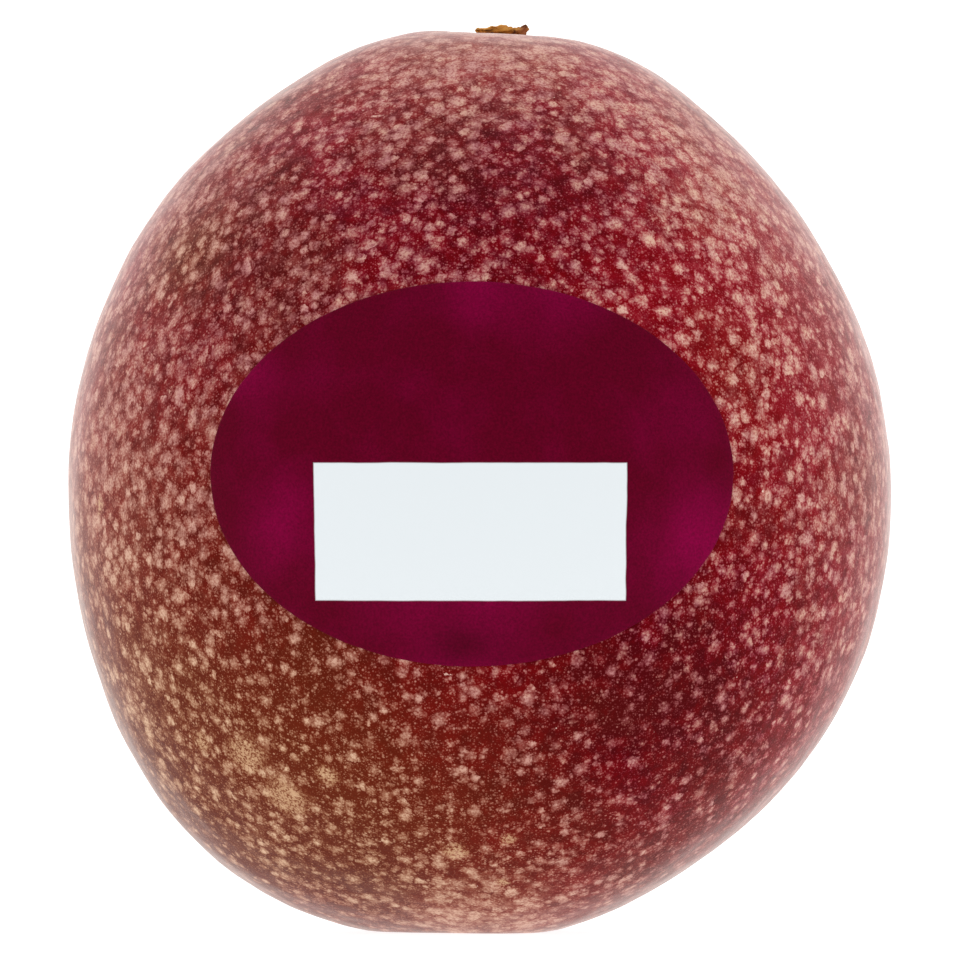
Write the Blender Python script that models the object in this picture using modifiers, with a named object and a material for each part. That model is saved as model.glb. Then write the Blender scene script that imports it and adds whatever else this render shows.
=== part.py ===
"""A whole purple passion fruit, standing stem end up on its blossom end.

Three pieces: the fruit, the dry end of its stalk in the hollow on top, and the thin oval sticker
on its front. X is to the right as the sticker is looked at, the sticker faces -Y, and Z is up.
The origin is under the middle of the whole, on the surface that the fruit stands on.

The skin is given by its distance from the fruit's centre along each direction. That distance is
an ellipsoid's, raised or lowered by a few soft rings round the fruit, by three low lobes, by a
fuller left side and by the two hollows at its ends. Every shape lies on that one surface, so it
is written once.
"""
import bmesh
import bpy
import numpy as np

MM = 0.001

# Fruit: the ellipsoid that it is shaped from
HALF_WIDTH = 25.95 * MM
HALF_DEPTH = 25.8 * MM
UPPER_HALF_HEIGHT = 27.9 * MM
LOWER_HALF_HEIGHT = 28.85 * MM
FLAT_DEPTH = 0.32 * MM              # the resting flat is this far above the lowest skin

# Fruit: rings, as height, angle down from the top, and spread of the angle
LOW_FULLNESS = (0.56 * MM, 131.0, 24.5)
HIGH_LEANNESS = (-0.1 * MM, 59.0, 11.0)
SHOULDER = (1.05 * MM, 12.4, 16.0)  # its angle is counted from the stem

# Fruit: three lobes, one of them to the left, and a fuller left side, all strongest low down
LOBES = 3
LOBE_LOW = (3.2 * MM, 180.0, 34.3)
LOBE_HIGH = (0.44 * MM, 31.0, 35.0)
FULL_SIDE = (4.1 * MM, 180.0, 34.3)

# Fruit: the hollows at its ends, each as depth and spread of the angle
STEM_AT = (1.3 * MM, 0.15 * MM)     # where the stalk's axis meets the top, beside the fruit's axis
SCAR_AT = (0.19 * MM, 0.0)
STEM_HOLLOW = (1.0 * MM, 5.0)
SCAR_HOLLOW = (1.0 * MM, 5.0)
SCAR_PIT = (0.25 * MM, 3.0)
SCAR_NUB = (0.7 * MM, 1.7)
UNEVENNESS = 0.06 * MM

# Stalk end: a torn stub, wider at its crown than where it meets the fruit
STUB_WIDTH = 3.3 * MM
STUB_DEPTH = 2.5 * MM
STUB_TOP = 57.39 * MM               # height of its highest tip above the resting surface
STUB_WAIST = 0.72                   # width at the foot, as a share of the crown's
STUB_BLUNTNESS = 0.35               # the nearer to 0, the flatter the crown and the foot
STUB_FULLNESS = 0.6                 # the nearer to 0, the squarer the rim

# Stalk end: waves round its rim, each as share of the width, count and start in radians
RIM_WAVES = ((0.07, 3.0, 0.5), (0.05, 5.0, 2.0))

# Stalk end: what stands highest on the crown, each as place across and along and its spread, in
# half widths
CROWN_LIFT = 0.22 * MM              # how far these two stand above the rest
KNOB = (0.80, -0.15, 0.30)          # to the right
BUMP = (0.02, -0.60, 0.38)          # in the middle of the front

# Sticker: an oval film, its outline as seen from the front
STICKER_WIDTH = 32.3 * MM
STICKER_HEIGHT = 23.7 * MM
STICKER_AT = (-0.5 * MM, 28.95 * MM)  # its middle, along X and above the resting surface
STICKER_THICKNESS = 0.25 * MM

GAP = 0.3 * MM                      # between the fruit and what lies on it

# Fineness of the meshes
FRUIT_SEGMENTS = 64
FRUIT_RINGS = 44
ROW_CROWDING = 0.32                 # moves rows of points towards the two hollows, in radians
STUB_SEGMENTS = 28
STUB_RINGS = 12
STICKER_CELLS = (26, 18)


def bell(angle, centre, spread):
    """Soft bump of height 1 at a centre angle, falling away with the square of the distance."""
    return np.exp(-((angle - centre) / spread) ** 2)


def angle_from(direction, axis):
    """Angle in degrees between unit directions and an axis."""
    axis = np.asarray(axis) / np.linalg.norm(axis)
    return np.degrees(np.arccos(np.clip(direction @ axis, -1.0, 1.0)))


def skin_distance(direction):
    """Distance from the fruit's centre to its skin along unit directions."""
    x, y, z = direction[..., 0], direction[..., 1], direction[..., 2]
    half_height = np.where(z > 0.0, UPPER_HALF_HEIGHT, LOWER_HALF_HEIGHT)
    distance = 1.0 / np.sqrt((x / HALF_WIDTH) ** 2 + (y / HALF_DEPTH) ** 2 + (z / half_height) ** 2)

    down = angle_from(direction, (0.0, 0.0, 1.0))
    from_stem = angle_from(direction, (*STEM_AT, UPPER_HALF_HEIGHT))
    from_scar = angle_from(direction, (*SCAR_AT, -LOWER_HALF_HEIGHT))
    for height, centre, spread in (LOW_FULLNESS, HIGH_LEANNESS):
        distance += height * bell(down, centre, spread)
    distance += SHOULDER[0] * bell(from_stem, *SHOULDER[1:])

    level = x * x + y * y
    around = np.arctan2(y, x)
    lobe = level * np.cos(LOBES * (around - np.pi))
    for height, centre, spread in (LOBE_LOW, LOBE_HIGH):
        distance += height * bell(down, centre, spread) * lobe
    distance += FULL_SIDE[0] * bell(down, *FULL_SIDE[1:]) * -x * np.sqrt(level)

    distance -= STEM_HOLLOW[0] * bell(from_stem, 0.0, STEM_HOLLOW[1])
    distance -= SCAR_HOLLOW[0] * bell(from_scar, 0.0, SCAR_HOLLOW[1])
    distance -= SCAR_PIT[0] * bell(from_scar, 0.0, SCAR_PIT[1])
    distance += SCAR_NUB[0] * bell(from_scar, 0.0, SCAR_NUB[1])

    ripple = np.sin(7.1 * x + 2.3 * z) * np.sin(6.3 * y + 1.1) + np.sin(5.2 * z + 3.7 * x - 0.6)
    return distance + UNEVENNESS * ripple


def skin_across(first, second, facing):
    """Third coordinate of the skin, from the centre, where the other two are known.

    facing names that third axis and its sign. A distance is guessed, the direction that it gives
    is worked out, and the skin's distance along it is the next guess.
    """
    axis, sign = facing
    others = [i for i in range(3) if i != axis]
    distance = np.full(first.shape, UPPER_HALF_HEIGHT)
    for _ in range(20):
        direction = np.empty(first.shape + (3,))
        direction[..., others[0]] = first / distance
        direction[..., others[1]] = second / distance
        level = (first ** 2 + second ** 2) / distance ** 2
        direction[..., axis] = sign * np.sqrt(1.0 - level)
        distance = skin_distance(direction)
    return distance * direction[..., axis]


def points_of(mesh):
    """The mesh's points as rows of x, y, z."""
    flat = np.empty(len(mesh.vertices) * 3)
    mesh.vertices.foreach_get("co", flat)
    return flat.reshape(-1, 3)


def put_points(mesh, points):
    """Moves the mesh's points to the given rows of x, y, z."""
    mesh.vertices.foreach_set("co", points.ravel())
    mesh.update()


def sphere_mesh(name, segments, rings):
    """A unit ball of meridians and parallels."""
    shape = bmesh.new()
    bmesh.ops.create_uvsphere(shape, u_segments=segments, v_segments=rings, radius=1.0)
    mesh = bpy.data.meshes.new(name)
    shape.to_mesh(mesh)
    shape.free()
    return mesh


def material(name, colour, roughness):
    """A plain Principled material."""
    finish = bpy.data.materials.new(name)
    finish.use_nodes = True
    shader = finish.node_tree.nodes["Principled BSDF"]
    shader.inputs["Base Color"].default_value = (*colour, 1.0)
    shader.inputs["Roughness"].default_value = roughness
    shader.inputs["Metallic"].default_value = 0.0
    return finish


def add_piece(name, mesh, finish, collection):
    """Puts a mesh into the collection as a smooth-shaded object of its own."""
    mesh.materials.append(finish)
    mesh.shade_smooth()
    piece = bpy.data.objects.new(name, mesh)
    collection.objects.link(piece)
    return piece


def make_fruit(collection):
    """The fruit: every point of a ball is pushed out to the skin, and the foot is made flat."""
    mesh = sphere_mesh("fruit", FRUIT_SEGMENTS, FRUIT_RINGS)
    ball = points_of(mesh)
    down = np.arccos(np.clip(ball[:, 2], -1.0, 1.0))
    around = np.arctan2(ball[:, 1], ball[:, 0])
    down -= ROW_CROWDING * np.sin(2.0 * down)
    direction = np.stack(
        [np.sin(down) * np.cos(around), np.sin(down) * np.sin(around), np.cos(down)], axis=1)
    points = direction * skin_distance(direction)[:, None]
    centre_height = -points[:, 2].min() - FLAT_DEPTH
    points[:, 2] = np.maximum(points[:, 2] + centre_height, 0.0)
    put_points(mesh, points)
    rind = material("purple_rind", (0.16, 0.010, 0.018), 0.42)
    return add_piece("fruit", mesh, rind, collection), centre_height


def make_stub(collection, centre_height):
    """The stalk's torn end: a flat ball whose underside follows the hollow that it stands in.

    Its crown is nearly flat, with a knob to the right and a bump in the middle of the front.
    """
    mesh = sphere_mesh("stem_stub", STUB_SEGMENTS, STUB_RINGS)
    ball = points_of(mesh)
    rise = 0.5 * (1.0 + np.sign(ball[:, 2]) * np.abs(ball[:, 2]) ** STUB_BLUNTNESS)
    level = np.hypot(ball[:, 0], ball[:, 1])
    around = np.arctan2(ball[:, 1], ball[:, 0])
    spread = level ** STUB_FULLNESS * (STUB_WAIST + (1.0 - STUB_WAIST) * rise)
    for height, count, start in RIM_WAVES:
        spread = spread * (1.0 + height * np.sin(count * around + start))
    across = spread * np.cos(around)
    along = spread * np.sin(around)
    x = STEM_AT[0] + 0.5 * STUB_WIDTH * across
    y = STEM_AT[1] + 0.5 * STUB_DEPTH * along
    floor = skin_across(x, y, (2, 1.0)) + centre_height + GAP
    knob, bump = (
        bell(np.hypot(across - right, along - back), 0.0, reach) for right, back, reach in (KNOB, BUMP))
    crown = STUB_TOP - CROWN_LIFT + CROWN_LIFT * np.maximum(knob, bump)
    put_points(mesh, np.stack([x, y, floor + rise * (crown - floor)], axis=1))
    stalk = material("dry_stalk", (0.32, 0.12, 0.03), 0.8)
    return add_piece("stem_stub", mesh, stalk, collection)


def make_sticker(collection, centre_height):
    """The sticker: a square net is rounded to an oval, laid over the skin and given a thickness."""
    columns, rows = STICKER_CELLS
    shape = bmesh.new()
    bmesh.ops.create_grid(shape, x_segments=columns, y_segments=rows, size=1.0)
    mesh = bpy.data.meshes.new("sticker")
    shape.to_mesh(mesh)
    shape.free()
    net = points_of(mesh)
    across = net[:, 0] * np.sqrt(1.0 - 0.5 * net[:, 1] ** 2)
    along = net[:, 1] * np.sqrt(1.0 - 0.5 * net[:, 0] ** 2)
    x = STICKER_AT[0] + 0.5 * STICKER_WIDTH * across
    z = STICKER_AT[1] - centre_height + 0.5 * STICKER_HEIGHT * along
    skin = np.stack([x, skin_across(x, z, (1, -1.0)), z], axis=1)
    outward = skin / np.linalg.norm(skin, axis=1, keepdims=True)
    points = skin + GAP * outward
    points[:, 2] += centre_height
    put_points(mesh, points)
    film = material("sticker_film", (0.14, 0.006, 0.028), 0.4)
    sticker = add_piece("sticker", mesh, film, collection)
    wall = sticker.modifiers.new("film", "SOLIDIFY")
    wall.thickness = STICKER_THICKNESS
    wall.offset = 1.0
    return sticker


def centre_over_origin(pieces):
    """Slides the pieces together so that their common box is centred on the Z axis."""
    bpy.context.view_layer.update()
    graph = bpy.context.evaluated_depsgraph_get()
    every = np.concatenate([points_of(piece.evaluated_get(graph).data) for piece in pieces])
    middle = 0.5 * (every.min(axis=0) + every.max(axis=0))
    middle[2] = 0.0
    for piece in pieces:
        put_points(piece.data, points_of(piece.data) - middle)


def main():
    for old in list(bpy.data.objects):
        bpy.data.objects.remove(old, do_unlink=True)
    collection = bpy.data.collections.new("passion_fruit")
    bpy.context.scene.collection.children.link(collection)
    fruit, centre_height = make_fruit(collection)
    stub = make_stub(collection, centre_height)
    sticker = make_sticker(collection, centre_height)
    centre_over_origin([fruit, stub, sticker])


main()
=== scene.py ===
"""The looks of a whole purple passion fruit that stands stem end up on a white table.

Three pieces are made, each in place of a plain solid of the frame: the fruit with its speckled
rind, the torn dry end of its stalk, and a blank oval film sticker on its front. All sizes are in
metres. X is to the right as the sticker is looked at, the sticker faces -Y, and Z is up.
"""

import bpy
import numpy as np
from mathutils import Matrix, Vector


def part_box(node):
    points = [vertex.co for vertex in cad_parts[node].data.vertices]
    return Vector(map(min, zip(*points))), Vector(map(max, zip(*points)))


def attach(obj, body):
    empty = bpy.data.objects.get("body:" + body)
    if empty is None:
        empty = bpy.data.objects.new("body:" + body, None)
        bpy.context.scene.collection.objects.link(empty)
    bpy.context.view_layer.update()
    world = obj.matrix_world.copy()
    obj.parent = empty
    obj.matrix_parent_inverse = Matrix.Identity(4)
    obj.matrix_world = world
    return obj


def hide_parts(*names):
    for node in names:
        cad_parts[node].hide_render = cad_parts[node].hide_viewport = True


bl_info = {
    "name": "Passion fruit",
    "version": (1, 0, 0),
    "blender": (4, 5, 0),
    "location": "3D View > Sidebar > Passion fruit",
    "description": "Makes a speckled passion fruit with its stalk end, a blank sticker and a studio",
    "category": "Add Mesh",
}

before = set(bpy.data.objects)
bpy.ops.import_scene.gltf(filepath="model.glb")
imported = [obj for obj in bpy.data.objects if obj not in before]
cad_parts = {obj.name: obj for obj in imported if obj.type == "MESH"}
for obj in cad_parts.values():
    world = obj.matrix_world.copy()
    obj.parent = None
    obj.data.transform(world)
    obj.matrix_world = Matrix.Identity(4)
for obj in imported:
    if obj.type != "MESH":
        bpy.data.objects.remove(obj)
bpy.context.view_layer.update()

MM = 0.001

# The photograph: its width in pixels, what one pixel spans at the fruit's axis, the row where the
# fruit stands, and the columns' and rows' middle
PHOTO_PIXELS = 960
PIXEL = 52.0 * MM / 822
GROUND_ROW = 931.7
MIDDLE = 480.0

# The fruit's skin: rings round it, each as height, angle down from the top and spread in degrees
LOW_FULLNESS = (0.56 * MM, 131.0, 24.5)
HIGH_LEANNESS = (-0.1 * MM, 59.0, 11.0)
SHOULDER = (1.05 * MM, 12.4, 16.0)       # its angle is counted from the stem
LOBES = 3
LOBE_LOW = (3.2 * MM, 180.0, 34.3)
LOBE_HIGH = (0.44 * MM, 31.0, 35.0)
FULL_SIDE = (4.1 * MM, 180.0, 34.3)

# The hollows at its ends, each as depth and spread in degrees
STEM_AT = (1.3 * MM, 0.15 * MM)
SCAR_AT = (0.19 * MM, 0.0)
STEM_HOLLOW = (1.0 * MM, 5.0)
SCAR_HOLLOW = (1.0 * MM, 5.0)
SCAR_PIT = (0.25 * MM, 3.0)
SCAR_NUB = (0.7 * MM, 1.7)
UNEVENNESS = 0.06 * MM
SKIN_WAVES = ((0.025 * MM, 5.0 * MM, 3), (0.008 * MM, 1.7 * MM, 4))    # height, spacing, seed
FLAT_DEPTH = 0.32 * MM                   # the foot's flat is this far above the lowest skin
FOOT_ROUNDING = 0.1 * MM                 # softens the edge of that flat

# Fineness of the surfaces
FRUIT_RINGS, FRUIT_COLUMNS = 220, 420
ROW_CROWDING = 0.32                      # moves rings towards the two hollows, in radians
STALK_RINGS, STALK_COLUMNS = 120, 180
FILM_RINGS, FILM_COLUMNS = 64, 320


def linear(hex_colour):
    """An sRGB hex colour as linear red, green and blue."""
    srgb = np.array([int(hex_colour[at:at + 2], 16) for at in (1, 3, 5)]) / 255.0
    curved = ((srgb + 0.055) / 1.055) ** 2.4
    return np.where(srgb <= 0.04045, srgb / 12.92, curved).tolist()


def length(name, description, millimetres):
    """A length property, its default given in millimetres."""
    return bpy.props.FloatProperty(
        name=name, description=description, default=millimetres * MM, unit="LENGTH", precision=5)


def colour(name, description, hex_colour):
    """A colour property, its default given as an sRGB hex value."""
    return bpy.props.FloatVectorProperty(
        name=name, description=description, default=linear(hex_colour), subtype="COLOR",
        min=0.0, max=1.0)


class FruitSettings(bpy.types.PropertyGroup):
    """Sizes of the fruit and colours of its rind."""
    half_width: length("Half width", "Half of the fruit's width along X", 25.95)
    half_depth: length("Half depth", "Half of the fruit's depth along Y", 25.8)
    upper_height: length("Upper half", "From the fruit's widest level up to its top", 27.9)
    lower_height: length("Lower half", "From the fruit's widest level down to its foot", 28.85)
    crimson: colour("Crimson", "Ripe ground colour between the speckles", "#780008")
    wine: colour("Wine", "Darkest ground colour, where few speckles lie", "#4C0007")
    brown: colour("Brown", "Ground colour of the browner, less ripe side", "#60200B")
    rosy: colour("Rosy speckles", "Pale speckles and clouds of the upper half", "#D4A798")
    mauve: colour("Mauve speckles", "Speckles on the darkest ground", "#B07174")
    tan: colour("Tan speckles", "Pale speckles and clouds of the browner side", "#D4B091")
    cork: colour("Cork", "Dry corky spots, scratches and the scar under the fruit", "#CAA47F")


class StalkSettings(bpy.types.PropertyGroup):
    """Sizes and colours of the dry stalk end."""
    width: length("Width", "Across the torn crown, along X", 3.3)
    depth: length("Depth", "Across the torn crown, along Y", 2.5)
    top: length("Top", "Height of the highest tip above the table", 57.39)
    bark: colour("Bark", "Dry brown outside", "#8A4E14")
    torn_wood: colour("Torn wood", "Pale fibres where the stalk broke", "#D8A050")
    hollow: colour("Hollow", "Dark shrunken parts", "#3A1A08")


class StickerSettings(bpy.types.PropertyGroup):
    """Sizes and colours of the oval sticker."""
    width: length("Width", "Across the oval, along X", 32.3)
    height: length("Height", "Up the oval, along Z", 23.7)
    thickness: length("Thickness", "Of the film, drawn a little thicker than real film", 0.12)
    panel_width: length("Panel width", "Of the blank pale panel", 19.25)
    panel_height: length("Panel height", "Of the blank pale panel", 8.5)
    plum: colour("Plum", "Colour of the film", "#58001B")
    magenta: colour("Magenta", "Brighter clouds in the film's colour", "#7C0038")
    # Shade is painted shade, the darker colour put where the film folds below the panel
    shade: colour("Shade", "Darkest folds of the film", "#460014")
    panel: colour("Panel", "Colour of the blank panel", "#E0E6E9")


class StageSettings(bpy.types.PropertyGroup):
    """Floor, light and camera."""
    floor_radius: length("Floor radius", "Of the round white table", 3000.0)
    floor: colour("Floor", "Colour of the table", "#989898")
    sky_front: bpy.props.FloatProperty(
        name="Sky in front", description="Strength of the soft light from the camera's side",
        default=0.76, min=0.0)
    sky_behind: bpy.props.FloatProperty(
        name="Sky behind", description="Strength of the soft light from behind the fruit",
        default=1.34, min=0.0)
    softbox_power: bpy.props.FloatProperty(
        name="Softbox", description="Power of the soft light above", default=0.8, min=0.0,
        unit="POWER")
    lens: bpy.props.FloatProperty(
        name="Lens", description="Focal length of the camera", default=600.0, unit="CAMERA")


def bell(angle, centre, spread):
    """Soft bump of height 1 at a centre angle, falling away with the square of the distance."""
    return np.exp(-((angle - centre) / spread) ** 2)


def angle_from(direction, axis):
    """Angle in degrees between unit directions and an axis."""
    axis = np.asarray(axis) / np.linalg.norm(axis)
    return np.degrees(np.arccos(np.clip(direction @ axis, -1.0, 1.0)))


def waves(points, spacing, seed, count=24):
    """Smooth random relief between about -1 and 1: many sine waves of one spacing, summed.

    Each wave runs in a random direction with a random start, so the relief has no pattern.
    """
    chance = np.random.default_rng(seed)
    heading = chance.normal(size=(3, count))
    heading *= 2.0 * np.pi / (spacing * np.linalg.norm(heading, axis=0))
    return np.sin(points @ heading + chance.uniform(0.0, 2.0 * np.pi, count)).sum(-1) / count ** 0.5


def skin_distance(direction, fruit):
    """Distance from the fruit's centre to its skin along unit directions.

    An ellipsoid's distance, its upper and lower halves of unequal height, raised or lowered by
    soft rings, by three low lobes, by a fuller left side and by the hollows at the two ends.
    """
    x, y, z = direction[..., 0], direction[..., 1], direction[..., 2]
    half_height = np.where(z > 0.0, fruit.upper_height, fruit.lower_height)
    distance = 1.0 / np.sqrt(
        (x / fruit.half_width) ** 2 + (y / fruit.half_depth) ** 2 + (z / half_height) ** 2)

    down = angle_from(direction, (0.0, 0.0, 1.0))
    from_stem = angle_from(direction, (*STEM_AT, fruit.upper_height))
    from_scar = angle_from(direction, (*SCAR_AT, -fruit.lower_height))
    for height, centre, spread in (LOW_FULLNESS, HIGH_LEANNESS):
        distance += height * bell(down, centre, spread)
    distance += SHOULDER[0] * bell(from_stem, *SHOULDER[1:])

    level = x * x + y * y
    around = np.arctan2(y, x)
    lobe = level * np.cos(LOBES * (around - np.pi))
    for height, centre, spread in (LOBE_LOW, LOBE_HIGH):
        distance += height * bell(down, centre, spread) * lobe
    distance += FULL_SIDE[0] * bell(down, *FULL_SIDE[1:]) * -x * np.sqrt(level)

    distance -= STEM_HOLLOW[0] * bell(from_stem, 0.0, STEM_HOLLOW[1])
    distance -= SCAR_HOLLOW[0] * bell(from_scar, 0.0, SCAR_HOLLOW[1])
    distance -= SCAR_PIT[0] * bell(from_scar, 0.0, SCAR_PIT[1])
    distance += SCAR_NUB[0] * bell(from_scar, 0.0, SCAR_NUB[1])

    ripple = np.sin(7.1 * x + 2.3 * z) * np.sin(6.3 * y + 1.1) + np.sin(5.2 * z + 3.7 * x - 0.6)
    return distance + UNEVENNESS * ripple


def skin_point(first, second, facing, fruit):
    """Points of the skin, from the fruit's centre, where two coordinates are known.

    facing names the third axis and its sign. A distance is guessed, the direction that it gives
    is worked out, and the skin's distance along it is the next guess.
    """
    axis, sign = facing
    others = [i for i in range(3) if i != axis]
    first, second = np.asarray(first), np.asarray(second)
    distance = np.full(first.shape, fruit.upper_height)
    for _ in range(20):
        direction = np.empty(first.shape + (3,))
        direction[..., others[0]] = first / distance
        direction[..., others[1]] = second / distance
        level = (first ** 2 + second ** 2) / distance ** 2
        direction[..., axis] = sign * np.sqrt(1.0 - level)
        distance = skin_distance(direction, fruit)
    return distance[..., None] * direction


def ball_directions(rings, columns):
    """Unit directions over a ball, ring by ring from the top, the rings closer near both ends."""
    down = np.linspace(0.0, np.pi, rings + 1)[:, None]
    down = down - ROW_CROWDING * np.sin(2.0 * down)
    around = np.linspace(0.0, 2.0 * np.pi, columns, endpoint=False)[None, :]
    return np.stack(np.broadcast_arrays(
        np.sin(down) * np.cos(around), np.sin(down) * np.sin(around), np.cos(down)), axis=-1)


def fruit_centre(fruit):
    """Where the skin formula's centre lies in the frame.

    Its middle in X and Y is the middle of the frame's fruit, and its lowest skin is as far below
    the table as the foot's flat cuts off.
    """
    direction = ball_directions(FRUIT_RINGS, FRUIT_COLUMNS)
    skin = (direction * skin_distance(direction, fruit)[..., None]).reshape(-1, 3)
    low, high = (np.array(corner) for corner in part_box("fruit"))
    centre = 0.5 * (low + high) - 0.5 * (skin.min(0) + skin.max(0))
    centre[2] = -skin[:, 2].min() - FLAT_DEPTH
    return centre


def closed_mesh(name, shells):
    """A mesh of closed shells, each from rings of points with shape (rings, columns, 3).

    Neighbouring rings are joined by quads and the last column to the first. The first and the
    last ring of a shell are single points, joined to the next ring by a fan of triangles.
    """
    points, faces, start = [], [], 0
    for rings in shells:
        inner = rings[1:-1]
        count, columns = inner.shape[:2]
        points += [rings[0, :1], inner.reshape(-1, 3), rings[-1, :1]]
        index = start + 1 + np.arange(count * columns).reshape(count, columns)
        beside = np.roll(index, -1, axis=1)
        quads = np.stack([index[:-1], index[1:], beside[1:], beside[:-1]], axis=-1)
        top = np.full(columns, start)
        bottom = np.full(columns, start + 1 + count * columns)
        faces += quads.reshape(-1, 4).tolist()
        faces += np.stack([top, index[0], beside[0]], axis=-1).tolist()
        faces += np.stack([bottom, beside[-1], index[-1]], axis=-1).tolist()
        start += count * columns + 2
    mesh = bpy.data.meshes.new(name)
    mesh.from_pydata(np.concatenate(points).tolist(), [], faces)
    mesh.shade_smooth()
    return mesh


def points_of(mesh):
    """The mesh's points as rows of x, y, z."""
    flat = np.empty(len(mesh.vertices) * 3)
    mesh.vertices.foreach_get("co", flat)
    return flat.reshape(-1, 3)


def mark_points(mesh, **marks):
    """Stores a number for each point of the mesh under each name, for its material to read."""
    for name, values in marks.items():
        layer = mesh.attributes.new(name, "FLOAT", "POINT")
        layer.data.foreach_set("value", np.ascontiguousarray(values, dtype=np.float32))


def show(name, mesh, material):
    """Puts a mesh with its material into the scene as an object at the origin."""
    mesh.materials.append(material)
    piece = bpy.data.objects.new(name, mesh)
    bpy.context.scene.collection.objects.link(piece)
    return piece


def dress(piece, node):
    """The piece stands for a node of the frame: it is hung under the root's body, and the node's
    plain solid is hidden.
    """
    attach(piece, "root")
    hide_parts(node)


def add_node(tree, kind, inputs=None, **settings):
    """Adds a node, sets its properties, and fills its inputs by name or number.

    An input takes a value, another node's output, or a node, whose first output in use is taken.
    """
    node = tree.nodes.new(kind)
    for name, value in settings.items():
        setattr(node, name, value)
    for key, value in (inputs or {}).items():
        if isinstance(key, str):
            socket = next(s for s in node.inputs if s.enabled and s.name == key)
        else:
            socket = node.inputs[key]
        if isinstance(value, bpy.types.Node):
            value = next(s for s in value.outputs if s.enabled)
        if isinstance(value, bpy.types.NodeSocket):
            tree.links.new(value, socket)
        elif socket.type == "RGBA":
            socket.default_value = (*value, 1.0)
        else:
            socket.default_value = value
    return node


def new_material(name):
    """An empty material and a short name for adding nodes to it."""
    material = bpy.data.materials.new(name)
    material.use_nodes = True
    tree = material.node_tree
    tree.nodes.clear()
    return material, lambda kind, inputs=None, **settings: add_node(tree, kind, inputs, **settings)


def in_millimetres(add):
    """A node that gives each place of the object, counted in millimetres."""
    return add("ShaderNodeMapping", {
        "Vector": add("ShaderNodeTexCoord").outputs["Object"], "Scale": (1.0 / MM,) * 3})


# Places on the rind whose tone differs, each as the photograph's column and row, the side that it is
# on (-1 front, 1 back), its reach, and how much more of it is clouded, brown and dark. The paler
# places along the fruit's outline seen from the front and at its foot are partly painted light:
# paler rind that stands in for the light on its rim and underside.
SKIN_PLACES = (
    (235, 800, -1, 15.0 * MM, -0.22, 1.00, 0.00),
    (110, 620, -1, 12.0 * MM, 0.16, 0.38, 0.00),
    (400, 840, -1, 9.0 * MM, -0.06, 0.40, 0.20),
    # By the lower left outline: extra clouding that is partly painted rim light
    (152, 712, -1, 6.0 * MM, 0.30, 0.00, 0.00),
    (268, 842, -1, 6.0 * MM, 0.40, 0.00, 0.00),
    (640, 700, -1, 9.0 * MM, -0.16, 0.00, 0.58),
    (500, 200, -1, 9.0 * MM, -0.14, 0.00, 0.50),
    (250, 230, -1, 9.0 * MM, -0.07, 0.00, 0.24),
    (735, 320, -1, 8.0 * MM, -0.07, 0.00, -0.50),
    (210, 560, -1, 8.0 * MM, 0.08, 0.05, 0.35),
    (330, 670, -1, 6.0 * MM, 0.00, 0.15, 0.40),
    (260, 320, -1, 6.0 * MM, 0.00, 0.10, 0.34),
    # Down to the row at the foot, places mostly along the outline: their extra clouding is partly
    # painted rim light; at the foot it and the lowered dark are painted light from below
    (868, 470, -1, 9.0 * MM, 0.20, 0.00, 0.00),
    (795, 480, -1, 6.0 * MM, 0.06, 0.00, -0.15),
    (690, 165, -1, 6.0 * MM, 0.12, 0.00, -0.10),
    (840, 640, -1, 7.0 * MM, 0.30, 0.00, 0.00),
    (92, 460, -1, 8.0 * MM, 0.22, 0.00, 0.00),
    (185, 200, -1, 8.0 * MM, 0.24, 0.00, 0.00),
    (750, 205, -1, 7.0 * MM, 0.34, 0.00, 0.00),
    (470, 50, -1, 6.5 * MM, 0.44, 0.12, 0.00),
    (620, 90, -1, 6.0 * MM, 0.15, 0.00, 0.00),
    (480, 915, -1, 7.5 * MM, 0.66, 0.12, -0.55),
    (190, 260, -1, 3.5 * MM, -0.15, 0.60, 0.20),
    (300, 330, 1, 11.0 * MM, -0.25, 0.00, 0.50),
    (640, 640, 1, 14.0 * MM, -0.15, 0.80, 0.00),
    (560, 260, 1, 6.0 * MM, 0.15, 0.00, -0.40),
    (250, 760, 1, 9.0 * MM, -0.35, 0.00, 0.55),
)

# How clouded the rind is at half height, how much that rises towards the top and falls towards
# the foot, the height at which it changes most, and over what length
CLOUDED = (0.59, 0.15, 26.0 * MM, 9.0 * MM)

# Corky scabs, each as column, row, side and radius
SCABS = (
    (250, 750, -1, 1.6 * MM),
    (290, 792, -1, 1.7 * MM),
    (205, 738, -1, 0.8 * MM),
    (330, 770, -1, 0.8 * MM),
    (455, 845, -1, 0.9 * MM),
    (507, 833, -1, 0.6 * MM),
    (503, 877, -1, 0.5 * MM),
    (103, 506, -1, 0.7 * MM),
    (420, 350, 1, 1.2 * MM),
    (620, 700, 1, 1.5 * MM),
)


def photo_place(column, row, side, fruit, centre):
    """The point of the skin that a pixel of the photograph names, on the front or on the back."""
    across = (column - MIDDLE) * PIXEL
    up = (GROUND_ROW - row) * PIXEL - centre[2]
    place = centre + skin_point(across, up, (1, side), fruit)
    if not np.isfinite(place).all():
        raise ValueError(f"no skin at column {column}, row {row}")
    return place


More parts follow.
